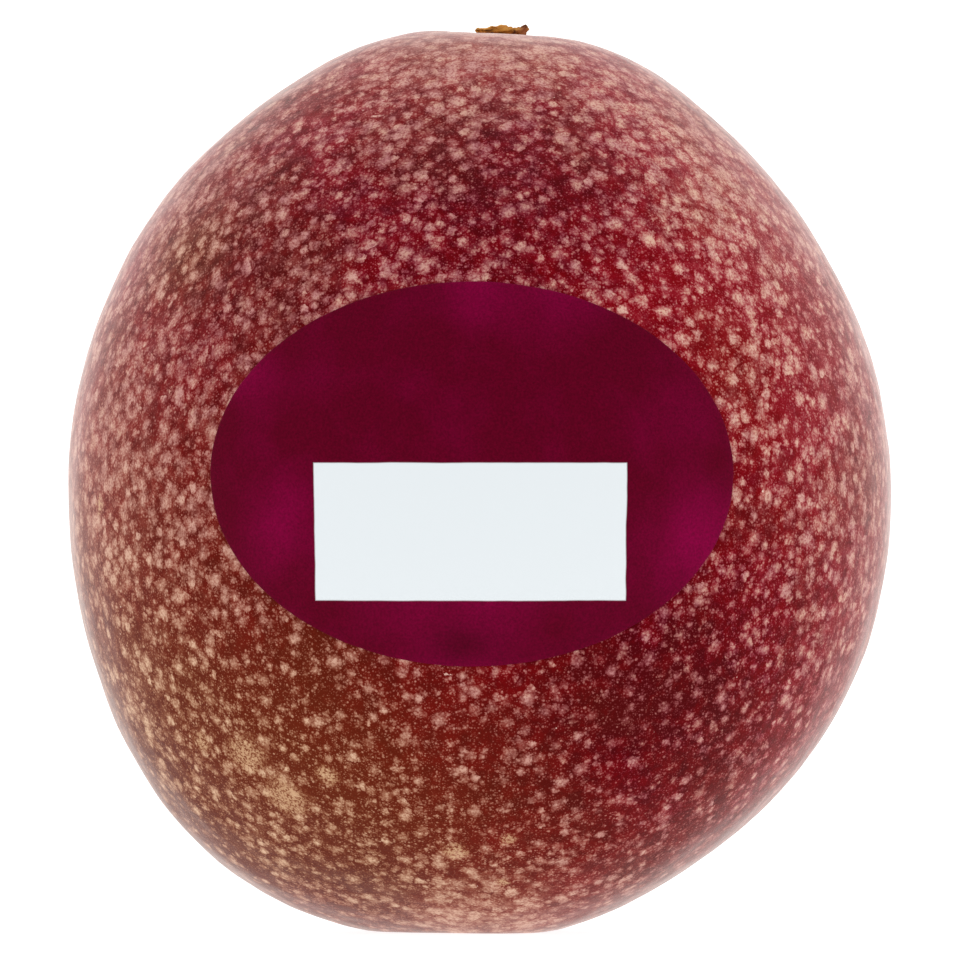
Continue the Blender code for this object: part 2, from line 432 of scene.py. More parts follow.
def rind_marks(points, fruit, centre):
    """Tones of the rind at each point: clouded (partly painted light along the rim and at the foot),
    brown, dark, scab, stem and scar.

    Each named place adds its amounts with a soft bump that falls off with the distance from it.
    stem and scar are the distances, in millimetres, from the stalk's and the scar's axes at the
    two ends.
    """
    middle, change, level, over = CLOUDED
    clouded_and_painted_light = middle + change * np.tanh((points[:, 2] - level) / over)
    brown = np.zeros(len(points))
    dark = np.zeros(len(points))
    for column, row, side, reach, more_cloud_and_light, more_brown, more_dark in SKIN_PLACES:
        place = photo_place(column, row, side, fruit, centre)
        near = bell(np.linalg.norm(points - place, axis=1), 0.0, reach)
        clouded_and_painted_light += more_cloud_and_light * near
        brown += more_brown * near
        dark += more_dark * near
    scab = np.zeros(len(points))
    for column, row, side, radius in SCABS:
        place = photo_place(column, row, side, fruit, centre)
        away = np.linalg.norm(points - place, axis=1) / radius
        scab = np.maximum(scab, 1.0 - 0.5 * away)
    upper = points[:, 2] > centre[2]
    stem = np.hypot(points[:, 0] - centre[0] - STEM_AT[0], points[:, 1] - centre[1] - STEM_AT[1])
    scar = np.hypot(points[:, 0] - centre[0] - SCAR_AT[0], points[:, 1] - centre[1] - SCAR_AT[1])
    return {
        "clouded_and_painted_light": clouded_and_painted_light, "brown": brown, "dark": dark, "scab": scab,
        "stem": np.where(upper, stem, 1.0) / MM, "scar": np.where(upper, 1.0, scar) / MM,
    }


# Speckles of the rind, coarse to fine: how far apart they are in millimetres, their smallest and
# largest radius and the width of their fading edge as shares of that, and their least and most
# cover. A radius below 0 never shows, so it thins that layer out.
BLOTCHES = (
    (1.08, -0.02, 0.43, 0.45, 0.70, 1.25),
    (0.70, -0.10, 0.47, 0.42, 0.60, 1.20),
)
DOTS = (
    (0.36, -0.18, 0.28, 0.20, 0.25, 0.62),
    (0.22, 0.00, 0.38, 0.26, 0.25, 0.62),
    (0.14, 0.18, 0.46, 0.30, 0.14, 0.50),
)

# Painted glints, tiny highlights drawn as near-white dots of colour, and scratches, each a lone
# speckle as above; a scratch is drawn out along one direction
PAINTED_GLINTS = (1.60, -0.12, 0.055, 0.02, 0.70, 1.00)
SCRATCHES = (2.20, -0.12, 0.060, 0.02, 0.40, 0.80)
SCRATCH_TURN = (0.5, 0.9, 0.3)
SCRATCH_STRETCH = (0.25, 2.6, 2.6)

# Noises of the rind, as cells for each millimetre: what tears the outlines, the clouds, their
# grain and the slow drift of the ground's tone. TEARING is how far outlines are pushed, in mm.
TEARING_SCALE = 2.6
CLOUD_SCALE = 0.85
GRAIN_SCALE = 6.0
DRIFT_SCALE = 0.12
TEARING = 0.45
CLOUDED_GROWTH = 0.36                    # what full clouding adds to a blotch's radius
# Near-white colour of the painted glints, which are highlights, and of the real scratches
GLINT_AND_SCRATCH_TONE = "#F0DCCB"

# Tones round the stalk and the scar: the mark that gives the distance, where the tone is full and
# where it has faded out in millimetres, its colour and its share
END_TONES = (
    ("stem", 1.6, 6.0, "#DCBFA8", 0.80),
    ("stem", 1.4, 2.3, "#7A4426", 0.70),
    ("scar", 1.8, 4.6, "#9C6A48", 0.55),
    ("scar", 1.3, 2.4, "#5E3014", 0.80),
    ("scar", 0.5, 1.1, "#DEC8A0", 0.95),
)
EYE = 2.2                                # gamma in which a half cover looks half as pale


def rind_material(fruit):
    """Passion fruit rind, grown and waxy.

    A deep crimson ground is strewn with fuzzy blotches of corky cells, palest in their middle,
    which run together into clouds, and with fine pale dots, each a breathing pore. Its wax gives
    a dull satin skin with a milky edge.
    """
    material, add = new_material("Waxy passion fruit rind")
    place = in_millimetres(add)
    mark = {name: add("ShaderNodeAttribute", attribute_name=name).outputs["Fac"]
            for name in ("clouded_and_painted_light", "brown", "dark", "scab", "stem", "scar")}

    # Places pushed about, which tears the outlines of what is drawn there
    push = add("ShaderNodeTexNoise", {
        "Vector": place, "Scale": TEARING_SCALE, "Detail": 3.0, "Roughness": 0.65})
    torn_place = add("ShaderNodeVectorMath", {
        0: push.outputs["Color"], 1: (TEARING,) * 3, 2: place}, operation="MULTIPLY_ADD")

    def speckles(layer, vector, growth, fading):
        """How far inside a speckle of one layer a place lies, and what the layer leaves bare.

        Each speckle fills the middle of a cell of its own, and growth is added to its radius.
        """
        spacing, smallest, largest, edge, least, most = layer
        cells = add("ShaderNodeTexVoronoi", {"Vector": vector, "Scale": 1.0 / spacing})
        chance = add("ShaderNodeSeparateColor", {"Color": cells.outputs["Color"]})
        radius = add("ShaderNodeMath", {
            0: chance.outputs["Red"], 1: largest - smallest, 2: smallest},
            operation="MULTIPLY_ADD")
        radius = add("ShaderNodeMath", {0: radius, 1: growth}, operation="ADD")
        inside = add("ShaderNodeMath", {
            0: radius, 1: cells.outputs["Distance"]}, operation="SUBTRACT")
        clear = add("ShaderNodeMapRange", {
            "Value": chance.outputs["Green"], "To Min": 1.0 - least, "To Max": 1.0 - most})
        return inside, add("ShaderNodeMapRange", {
            "Value": inside, "From Min": 0.0, "From Max": edge, "To Min": 1.0, "To Max": clear},
            interpolation_type=fading)

    def to_eye(paint):
        """A colour as the eye grades it, for even mixing."""
        return add("ShaderNodeGamma", {"Color": paint, "Gamma": 1.0 / EYE})

    # Clouds: a thin veil with patches about 1.5 mm wide, and the blotches, all of them grainy. Along
    # the outline and at the foot the mark's extra clouding is partly painted light, paler rind that
    # stands in for rim light and light from below.
    cloud = add("ShaderNodeTexNoise", {
        "Vector": place, "Scale": CLOUD_SCALE, "Detail": 5.0, "Roughness": 0.66})
    veil = add("ShaderNodeMath", {
        0: mark["clouded_and_painted_light"], 1: 0.6, 2: cloud.outputs["Fac"]}, operation="MULTIPLY_ADD")
    bare = add("ShaderNodeMapRange", {
        "Value": veil, "From Min": 0.80, "From Max": 1.22, "To Min": 1.0, "To Max": 0.58},
        interpolation_type="SMOOTHSTEP")
    growth = add("ShaderNodeMath", {
        0: mark["clouded_and_painted_light"], 1: CLOUDED_GROWTH}, operation="MULTIPLY")
    nearest = -1.0
    for layer in BLOTCHES:
        inside, left = speckles(layer, torn_place, growth, "LINEAR")
        bare = add("ShaderNodeMath", {0: bare, 1: left}, operation="MULTIPLY")
        nearest = add("ShaderNodeMath", {0: nearest, 1: inside}, operation="MAXIMUM")
    grain = add("ShaderNodeTexNoise", {
        "Vector": place, "Scale": GRAIN_SCALE, "Detail": 2.0, "Roughness": 0.7})
    grain_share = add("ShaderNodeMapRange", {
        "Value": grain, "From Min": 0.34, "From Max": 0.66, "To Min": 0.5, "To Max": 1.2},
        clamp=False)
    covered = add("ShaderNodeMath", {0: 1.0, 1: bare}, operation="SUBTRACT")
    covered = add("ShaderNodeMath", {0: covered, 1: grain_share}, operation="MULTIPLY")
    bare = add("ShaderNodeMath", {0: 1.0, 1: covered}, operation="SUBTRACT", use_clamp=True)

    # Fine dots, larger and closer round the blotches
    crowding = add("ShaderNodeMapRange", {
        "Value": nearest, "From Min": -0.35, "From Max": 0.10, "To Min": 0.05, "To Max": 0.24})
    for layer in DOTS:
        left = speckles(layer, place, crowding, "SMOOTHSTEP")[1]
        bare = add("ShaderNodeMath", {0: bare, 1: left}, operation="MULTIPLY")

    # Ground: crimson, darker and browner by place. Every millimetre or two its tone and that of
    # the speckles on it change a little.
    drift = add("ShaderNodeTexNoise", {"Vector": place, "Scale": DRIFT_SCALE, "Detail": 3.0})
    own_tone = add("ShaderNodeSeparateColor", {"Color": cloud.outputs["Color"]})
    darker = add("ShaderNodeMapRange", {
        "Value": own_tone.outputs["Blue"], "From Min": 0.38, "From Max": 0.62, "To Min": -0.35,
        "To Max": 0.20})
    tanner = add("ShaderNodeMapRange", {
        "Value": own_tone.outputs["Green"], "From Min": 0.42, "From Max": 0.62, "To Max": 0.4})
    wine_share = add("ShaderNodeMath", {
        0: add("ShaderNodeMath", {0: drift, 1: 0.9, 2: darker}, operation="MULTIPLY_ADD"),
        1: mark["dark"]}, operation="ADD", use_clamp=True)
    brown_share = add("ShaderNodeMath", {
        0: add("ShaderNodeMath", {0: drift, 1: 0.6, 2: -0.3}, operation="MULTIPLY_ADD"),
        1: mark["brown"]}, operation="ADD", use_clamp=True)
    ground = add("ShaderNodeMix", {
        0: wine_share, 6: fruit.crimson, 7: fruit.wine}, data_type="RGBA")
    ground = add("ShaderNodeMix", {
        0: brown_share, 6: ground, 7: fruit.brown}, data_type="RGBA")
    pale = add("ShaderNodeMix", {
        0: wine_share, 6: fruit.rosy, 7: fruit.mauve}, data_type="RGBA")
    tan_share = add("ShaderNodeMath", {0: brown_share, 1: tanner}, operation="MAXIMUM")
    pale = add("ShaderNodeMix", {
        0: tan_share, 6: pale, 7: fruit.tan}, data_type="RGBA")
    skin = add("ShaderNodeMix", {0: bare, 6: to_eye(pale), 7: to_eye(ground)}, data_type="RGBA")

    # Corky scabs with torn edges and fine holes
    scab_edge = add("ShaderNodeMath", {
        0: mark["scab"], 1: add("ShaderNodeMath", {
            0: grain, 1: 0.9, 2: cloud.outputs["Fac"]}, operation="MULTIPLY_ADD")},
        operation="MULTIPLY")
    scabs = add("ShaderNodeMath", {
        0: add("ShaderNodeMapRange", {
            "Value": scab_edge, "From Min": 0.35, "From Max": 0.80, "To Max": 0.85},
            interpolation_type="SMOOTHSTEP"),
        1: add("ShaderNodeMapRange", {
            "Value": grain, "From Min": 0.42, "From Max": 0.52, "To Min": 0.25, "To Max": 1.0})},
        operation="MULTIPLY")
    skin = add("ShaderNodeMix", {0: scabs, 6: skin, 7: to_eye(fruit.cork)}, data_type="RGBA")

    # Lone painted glints, tiny highlights drawn as near-white colour, and thin healed scratches
    drawn_out = add("ShaderNodeMapping", {
        "Vector": torn_place, "Rotation": SCRATCH_TURN, "Scale": SCRATCH_STRETCH})
    for layer, where in ((PAINTED_GLINTS, place), (SCRATCHES, drawn_out)):
        left = speckles(layer, where, 0.0, "SMOOTHSTEP")[1]
        skin = add("ShaderNodeMix", {
            0: left, 6: to_eye(linear(GLINT_AND_SCRATCH_TONE)), 7: skin}, data_type="RGBA")

    # Browner skin and pale cork at the two ends, their outlines uneven
    for name, full, faded, tone, most in END_TONES:
        distance = add("ShaderNodeMath", {
            0: cloud.outputs["Fac"], 1: -1.4, 2: mark[name]}, operation="MULTIPLY_ADD")
        near = add("ShaderNodeMapRange", {
            "Value": distance, "From Min": full - 0.7, "From Max": faded - 0.7, "To Min": most,
            "To Max": 0.0}, interpolation_type="SMOOTHSTEP")
        near = add("ShaderNodeMath", {0: near, 1: grain_share}, operation="MULTIPLY", use_clamp=True)
        skin = add("ShaderNodeMix", {0: near, 6: skin, 7: to_eye(linear(tone))}, data_type="RGBA")
    skin = add("ShaderNodeGamma", {"Color": skin, "Gamma": EYE})

    # Bump of the corky blotches, some hundredths of a millimetre high
    relief = add("ShaderNodeMath", {
        0: cloud.outputs["Fac"], 1: 2.0, 2: grain}, operation="MULTIPLY_ADD")
    bump = add("ShaderNodeBump", {"Height": relief, "Strength": 0.35, "Distance": 0.04 * MM})
    rough = add("ShaderNodeMapRange", {"Value": bare, "To Min": 0.6, "To Max": 0.4})

    shader = add("ShaderNodeBsdfPrincipled", {
        "Base Color": skin, "Roughness": rough, "Normal": bump, "IOR": 1.45,
        "Specular IOR Level": 0.012, "Sheen Weight": 1.0, "Sheen Roughness": 0.29,
        "Sheen Tint": linear("#FAEEE8")})
    add("ShaderNodeOutputMaterial", {"Surface": shader})
    return material


def make_fruit(fruit):
    """The fruit: every direction of a ball is carried out to the skin, and the foot is made flat.

    Smooth waves a few millimetres apart give it the slight unevenness of a grown skin. Height h
    above the table becomes half of h plus the root of h squared and a rounding squared, which is
    h well above the table and nearly 0 below it.
    """
    centre = fruit_centre(fruit)
    direction = ball_directions(FRUIT_RINGS, FRUIT_COLUMNS)
    distance = skin_distance(direction, fruit)
    rings = direction * distance[..., None]
    for height, spacing, seed in SKIN_WAVES:
        distance += height * waves(rings, spacing, seed)
    rings = centre + direction * distance[..., None]
    height = rings[..., 2]
    rings[..., 2] = 0.5 * (height + np.sqrt(height ** 2 + FOOT_ROUNDING ** 2))
    mesh = closed_mesh("fruit_rind", [rings])
    mark_points(mesh, **rind_marks(points_of(mesh), fruit, centre))
    return show("fruit_rind", mesh, rind_material(fruit))


# The stalk end's profile from the middle of its crown over the rim to its foot: how far along it,
# how far out, and how far up from foot to crown
STALK_ALONG = (0.0, 0.15, 0.30, 0.42, 0.48, 0.54, 0.70, 0.85, 0.93, 1.0)
STALK_OUT = (0.0, 0.30, 0.60, 0.84, 0.96, 1.0, 0.86, 0.76, 0.72, 0.0)
STALK_UP = (0.86, 0.90, 0.62, 0.92, 1.0, 0.90, 0.45, 0.08, 0.0, -0.1)
STALK_SINK = 0.05 * MM                   # how far its foot reaches into the skin
STALK_WAVES = ((0.035 * MM, 0.7 * MM, 12), (0.02 * MM, 0.3 * MM, 11))  # height, spacing, seed

# Its ragged outline: waves as count round the stub, start and height as a share of its radius
RAGGED = ((3.0, 0.5, 0.07), (5.0, 2.0, 0.05))

# Its crown's highest places, each as place across and ahead and reach in shares of its radius, and
# how far the rest of the crown lies below them
KNOB = (0.86, -0.20, 0.22)
BUMP = (0.02, -0.80, 0.33)
CROWN_DROP = 0.22 * MM

# Loose fibres: their number, where they start as a share of the stub's size and how far below its
# top, and the least and most of their length and radius in millimetres and of their bend
FIBRES = 7
FIBRE_OUT = 0.36
FIBRE_BELOW = 0.75 * MM
FIBRE_LENGTH = (0.30, 0.55)
FIBRE_SIZE = (0.05, 0.10)
FIBRE_BEND = (0.2, 0.9)

# How finely the fibres' tones change along X, Y and Z; they are drawn out along X
FIBRE_GRAIN = (300.0, 800.0, 1300.0)


def stalk_rings(stalk, fruit, centre):
    """The torn stub: a flared cup with a low middle, a ragged rim and fibres down its side.

    A profile is carried round an oval. Its outline is ragged by three waves round the stub, its
    crown is lifted by a knob to the right and a bump in the middle and lowered to the left, and
    fine ridges run down its side.
    """
    along = np.linspace(0.0, 1.0, STALK_RINGS + 1)[:, None]
    around = np.linspace(0.0, 2.0 * np.pi, STALK_COLUMNS, endpoint=False)[None, :]
    out = np.interp(along, STALK_ALONG, STALK_OUT)
    up = np.interp(along, STALK_ALONG, STALK_UP)
    ragged = 1.0
    for count, start, share in RAGGED:
        ragged = ragged + share * np.sin(count * around + start)
    ridges = 0.008 * np.sin(23.0 * around + 3.0 * along) + 0.02 * np.sin(60.0 * along + 2.0 * around)
    reach = out * (ragged + ridges)
    across, ahead = reach * np.cos(around), reach * np.sin(around)
    x = STEM_AT[0] + 0.5 * stalk.width * across
    y = STEM_AT[1] + 0.5 * stalk.depth * ahead
    foot = skin_point(x, y, (2, 1.0), fruit)[..., 2] + centre[2] - STALK_SINK
    knob = bell(np.hypot(across - KNOB[0], ahead - KNOB[1]), 0.0, KNOB[2])
    bump = bell(np.hypot(across - BUMP[0], 0.7 * (ahead - BUMP[1])), 0.0, BUMP[2])
    crown = stalk.top - CROWN_DROP + CROWN_DROP * np.maximum(knob, bump)
    crown = crown + 0.04 * MM * np.sin(11.0 * around + 1.0) * np.sin(4.0 * around)
    rings = np.stack(np.broadcast_arrays(
        x + centre[0], y + centre[1], foot + up * (crown - foot)), axis=-1)
    for height, spacing, seed in STALK_WAVES:
        rings = rings + height * waves(rings, spacing, seed)[..., None]
    return rings


def strand(start, heading, rise, size, bend):
    """A tapering fibre: a circle carried along a rising, bent path and shrunk to its tip."""
    along = np.linspace(0.0, 1.0, 14)[:, None]
    around = np.linspace(0.0, 2.0 * np.pi, 10, endpoint=False)[None, :]
    rounded = np.sqrt(np.clip(1.0 - (2.0 * along - 1.0) ** 6, 0.0, 1.0))
    radius = size * rounded * (1.0 - 0.75 * along)
    out = rise * (0.9 * along - bend * along ** 2)
    up = rise * (along - 0.35 * bend * along ** 2)
    side = np.array([-np.sin(heading), np.cos(heading), 0.0])
    ahead = np.array([np.cos(heading), np.sin(heading), 0.0])
    path = start + out[..., None] * ahead + up[..., None] * np.array([0.0, 0.0, 1.0])
    lean = (ahead - np.array([0.0, 0.0, 1.0])) / 2.0 ** 0.5
    circle = np.cos(around)[..., None] * lean + np.sin(around)[..., None] * side
    return path + radius[..., None] * circle


def stalk_material(stalk):
    """Dead, dried plant fibre, torn when the fruit was picked.

    Brown bark with dark shrunken furrows, and pale caramel fibres where it broke. It is matt.
    """
    material, add = new_material("Dry torn stalk fibre")
    place = add("ShaderNodeMapping", {
        "Vector": add("ShaderNodeTexCoord").outputs["Object"], "Rotation": (0.0, 0.25, 0.0),
        "Scale": FIBRE_GRAIN})
    fibre = add("ShaderNodeTexNoise", {
        "Vector": place, "Scale": 3.0, "Detail": 4.0, "Roughness": 0.6})
    patch = add("ShaderNodeTexNoise", {"Vector": place, "Scale": 1.3, "Detail": 2.0})
    torn = add("ShaderNodeAttribute", attribute_name="torn").outputs["Fac"]
    tone = add("ShaderNodeMath", {
        0: torn, 1: 0.5, 2: add("ShaderNodeMath", {0: fibre, 1: -0.25}, operation="ADD")},
        operation="MULTIPLY_ADD")
    dark = add("ShaderNodeMapRange", {
        "Value": fibre, "From Min": 0.48, "From Max": 0.36, "To Max": 0.85})
    pale = add("ShaderNodeMapRange", {"Value": tone, "From Min": 0.35, "From Max": 0.75})
    body = add("ShaderNodeMix", {
        0: add("ShaderNodeMapRange", {"Value": patch, "From Min": 0.35, "From Max": 0.65}),
        6: stalk.bark, 7: linear("#BE7A1E")}, data_type="RGBA")
    body = add("ShaderNodeMix", {0: pale, 6: body, 7: stalk.torn_wood}, data_type="RGBA")
    knob = add("ShaderNodeMath", {
        0: add("ShaderNodeAttribute", attribute_name="knob").outputs["Fac"], 1: 0.8},
        operation="MULTIPLY")
    body = add("ShaderNodeMix", {0: knob, 6: body, 7: linear("#8A4A34")}, data_type="RGBA")
    body = add("ShaderNodeMix", {0: dark, 6: body, 7: stalk.hollow}, data_type="RGBA")
    bump = add("ShaderNodeBump", {"Height": fibre, "Strength": 0.6, "Distance": 0.06 * MM})
    shader = add("ShaderNodeBsdfPrincipled", {
        "Base Color": body, "Roughness": 0.8, "Normal": bump, "IOR": 1.5,
        "Specular IOR Level": 0.2})
    add("ShaderNodeOutputMaterial", {"Surface": shader})
    return material


def make_stalk(stalk, fruit):
    """The stalk end and a few loose fibres round its rim, as one piece."""
    centre = fruit_centre(fruit)
    body = stalk_rings(stalk, fruit, centre)
    shells = [body]
    chance = np.random.default_rng(5)
    axis = centre + np.array([*STEM_AT, 0.0])
    for heading in np.linspace(0.3, 2.0 * np.pi + 0.3, FIBRES, endpoint=False):
        heading = heading + chance.uniform(-0.3, 0.3)
        start = axis + np.array([
            FIBRE_OUT * stalk.width * np.cos(heading),
            FIBRE_OUT * stalk.depth * np.sin(heading), 0.0])
        start[2] = stalk.top - FIBRE_BELOW
        shells.append(strand(
            start, heading, chance.uniform(*FIBRE_LENGTH) * MM, chance.uniform(*FIBRE_SIZE) * MM,
            chance.uniform(*FIBRE_BEND)))
    mesh = closed_mesh("stalk_end", shells)
    points = points_of(mesh)
    torn = np.clip((points[:, 2] - stalk.top + 0.7 * MM) / (0.6 * MM), 0.0, 1.0)
    knob = bell(points[:, 0], axis[0] + 0.45 * stalk.width, 0.35 * MM)
    mark_points(mesh, torn=torn, knob=knob)
    return show("stalk_end", mesh, stalk_material(stalk))


# Brighter clouds in the film's colour, each as column, row and reach, and how bright
FILM_CLOUDS = (
    (250, 375, 2.6 * MM, 0.5),
    (285, 520, 2.2 * MM, 0.8),
    (470, 612, 5.0 * MM, 0.5),
    (700, 545, 3.2 * MM, 0.85),
    (560, 300, 3.0 * MM, 0.5),
    (690, 420, 2.6 * MM, 0.25),
    (480, 288, 2.2 * MM, 0.55),
)
FILM_MIDDLE = (472.0, 474.0)
PANEL_MIDDLE = (470.5, 530.5)
PANEL_SPLAY = 0.012                      # how much its sides lean out for each millimetre up

# Painted shade of its fold, a darker patch where the film folds below the panel: column, row, how
# much wider than high, reach and share
FILM_FOLD_SHADE = (462.0, 640.0, 1.6, 1.3 * MM, 0.75)

# Relief of the film: its gap from the skin, puckers along its rim, and folds that run down below
# the panel, their middle height as a share of half the oval's height
FILM_GAP = 0.01 * MM
PUCKER_HEIGHT = 0.015 * MM
PUCKERS = 23.0
FOLD_HEIGHT = 0.012 * MM
FOLD_SPACING = 2.3 * MM
FOLD_LEVEL = -0.85


def film_place(column, row, centre):
    """X and Z in the frame of a pixel of the photograph."""
    return centre[0] + (column - MIDDLE) * PIXEL, (GROUND_ROW - row) * PIXEL


def film_rings(sticker, fruit, centre):
    """The oval film: rings from the middle of its face over its rounded edge to its back.

    Each point of the oval is carried to the skin and lifted along its ray from the fruit's
    centre: the back lies on the skin, the face a film's thickness above. Low folds run down from
    the panel and small puckers stand along the rim.
    """
    face = np.linspace(0.0, 1.0, FILM_RINGS)[:, None]
    edge = np.radians(np.linspace(90.0, -90.0, 9))[1:-1, None]
    half_edge = sticker.thickness / sticker.width
    out = np.concatenate([
        face * (1.0 - half_edge), 1.0 - half_edge + half_edge * np.cos(edge),
        face[::-1] * (1.0 - half_edge)])
    lift = np.concatenate([
        np.ones_like(face), 0.5 + 0.5 * np.sin(edge), np.zeros_like(face)])
    around = np.linspace(0.0, 2.0 * np.pi, FILM_COLUMNS, endpoint=False)[None, :]
    across, along = out * np.cos(around), out * np.sin(around)
    middle = film_place(*FILM_MIDDLE, centre)
    x = middle[0] - centre[0] + 0.5 * sticker.width * across
    z = middle[1] - centre[2] + 0.5 * sticker.height * along
    skin = skin_point(x, z, (1, -1.0), fruit)
    ray = skin / np.linalg.norm(skin, axis=-1, keepdims=True)
    pucker = bell(out, 1.0, 0.10) * np.sin(PUCKERS * around + 2.0 * np.sin(3.0 * around))
    fold = bell(along, FOLD_LEVEL, 0.35) * np.sin(2.0 * np.pi * x / FOLD_SPACING + 1.2 * along)
    height = FILM_GAP + sticker.thickness * lift
    height = height + PUCKER_HEIGHT * (1.0 + pucker) * bell(out, 1.0, 0.2)
    height = height + FOLD_HEIGHT * (1.0 + fold) * bell(along, FOLD_LEVEL, 0.4)
    return centre + skin + ray * height[..., None]


def film_material(sticker, centre):
    """Printed polypropylene film, coated with adhesive and die-cut.

    Deep plum ink with brighter magenta clouds and fine grain, under a satin surface that shows every
    fold of the film, with painted shade darkening its fold below the panel. A blank pale panel is
    printed across its lower middle.
    """
    material, add = new_material("Printed polypropylene label film")
    place = in_millimetres(add)
    glow = add("ShaderNodeAttribute", attribute_name="glow").outputs["Fac"]
    fold = add("ShaderNodeAttribute", attribute_name="fold").outputs["Fac"]
    cloud = add("ShaderNodeTexNoise", {"Vector": place, "Scale": 0.28, "Detail": 3.0})
    grain = add("ShaderNodeTexNoise", {"Vector": place, "Scale": 7.0, "Detail": 2.0})

    glowing = add("ShaderNodeMath", {
        0: cloud, 1: 0.9, 2: add("ShaderNodeMath", {0: glow, 1: -0.42}, operation="ADD")},
        operation="MULTIPLY_ADD", use_clamp=True)
    film = add("ShaderNodeMix", {
        0: glowing, 6: sticker.plum, 7: sticker.magenta}, data_type="RGBA")
    # Painted shade where the film folds below the panel
    film = add("ShaderNodeMix", {0: fold, 6: film, 7: sticker.shade}, data_type="RGBA")
    film = add("ShaderNodeMix", {
        0: 1.0, 6: film, 7: add("ShaderNodeMapRange", {
            "Value": grain, "From Min": 0.3, "From Max": 0.7, "To Min": 0.78, "To Max": 1.2})},
        data_type="RGBA", blend_type="MULTIPLY")

    # Panel: inside where both distances from its middle are less than its half sizes, a little
    # wider at its top than at its bottom
    middle = film_place(*PANEL_MIDDLE, centre)
    wobble = add("ShaderNodeVectorMath", {
        0: add("ShaderNodeTexNoise", {"Vector": place, "Scale": 0.35}).outputs["Color"],
        1: (0.16, 0.0, 0.10), 2: (-0.08, 0.0, -0.05)}, operation="MULTIPLY_ADD")
    beside = add("ShaderNodeVectorMath", {
        0: add("ShaderNodeVectorMath", {0: place, 1: wobble}, operation="ADD"),
        1: (middle[0] / MM, 0.0, middle[1] / MM)}, operation="SUBTRACT")
    rising = add("ShaderNodeSeparateXYZ", {"Vector": beside})
    half_width = add("ShaderNodeMath", {
        0: rising.outputs["Z"], 1: PANEL_SPLAY, 2: 0.5 * sticker.panel_width / MM},
        operation="MULTIPLY_ADD")
    beside = add("ShaderNodeSeparateXYZ", {
        "Vector": add("ShaderNodeVectorMath", {0: beside}, operation="ABSOLUTE")})
    outside = add("ShaderNodeMath", {
        0: add("ShaderNodeMath", {
            0: beside.outputs["X"], 1: half_width}, operation="SUBTRACT"),
        1: add("ShaderNodeMath", {
            0: beside.outputs["Z"], 1: 0.5 * sticker.panel_height / MM}, operation="SUBTRACT")},
        operation="MAXIMUM")
    panel = add("ShaderNodeMapRange", {"Value": outside, "From Min": 0.04, "From Max": -0.04})
    film = add("ShaderNodeMix", {0: panel, 6: film, 7: sticker.panel}, data_type="RGBA")

    bump = add("ShaderNodeBump", {"Height": grain, "Strength": 0.1, "Distance": 0.02 * MM})
    shader = add("ShaderNodeBsdfPrincipled", {
        "Base Color": film, "Roughness": 0.38, "Normal": bump, "IOR": 1.49,
        "Specular IOR Level": 0.025})
    add("ShaderNodeOutputMaterial", {"Surface": shader})
    return material


def make_sticker(sticker, fruit):
    """The sticker: a thin closed film that lies on the fruit's front."""
    centre = fruit_centre(fruit)
    mesh = closed_mesh("oval_film", [film_rings(sticker, fruit, centre)])
    points = points_of(mesh)
    glow = np.zeros(len(points))
    for column, row, reach, strength in FILM_CLOUDS:
        x, z = film_place(column, row, centre)
        glow += strength * bell(np.hypot(points[:, 0] - x, points[:, 2] - z), 0.0, reach)
    # How much painted shade lies on each point of the film's fold below the panel
    column, row, wider, reach, share = FILM_FOLD_SHADE
    x, z = film_place(column, row, centre)
    fold = share * bell(np.hypot((points[:, 0] - x) / wider, points[:, 2] - z), 0.0, reach)
    mark_points(mesh, glow=glow, fold=fold)
    return show("oval_film", mesh, film_material(sticker, centre))


# Stage: how much the table glows, the soft light's size and height in metres, the camera's sensor
# width in millimetres and the nearest and farthest that it sees in metres
TABLE_GLOW = 0.92
SOFTBOX_SIZE = 0.6
SOFTBOX_HEIGHT = 0.7
SENSOR_WIDTH = 36.0
CAMERA_REACH = (0.01, 20.0)


def floor_material(stage):
    """Matt white acrylic of a light table, moulded.

    It is lit from below a little, so it stays white under the fruit's soft shadow.
    """
    material, add = new_material("Matt white acrylic")
    place = in_millimetres(add)
    haze = add("ShaderNodeTexNoise", {"Vector": place, "Scale": 0.01, "Detail": 2.0})
    tone = add("ShaderNodeMix", {
        0: haze, 6: stage.floor, 7: linear("#9E9E9E")}, data_type="RGBA")
    shader = add("ShaderNodeBsdfPrincipled", {
        "Base Color": tone, "Roughness": 0.7, "Specular IOR Level": 0.2,
        "Emission Color": (1.0, 1.0, 1.0), "Emission Strength": TABLE_GLOW})
    add("ShaderNodeOutputMaterial", {"Surface": shader})
    return material


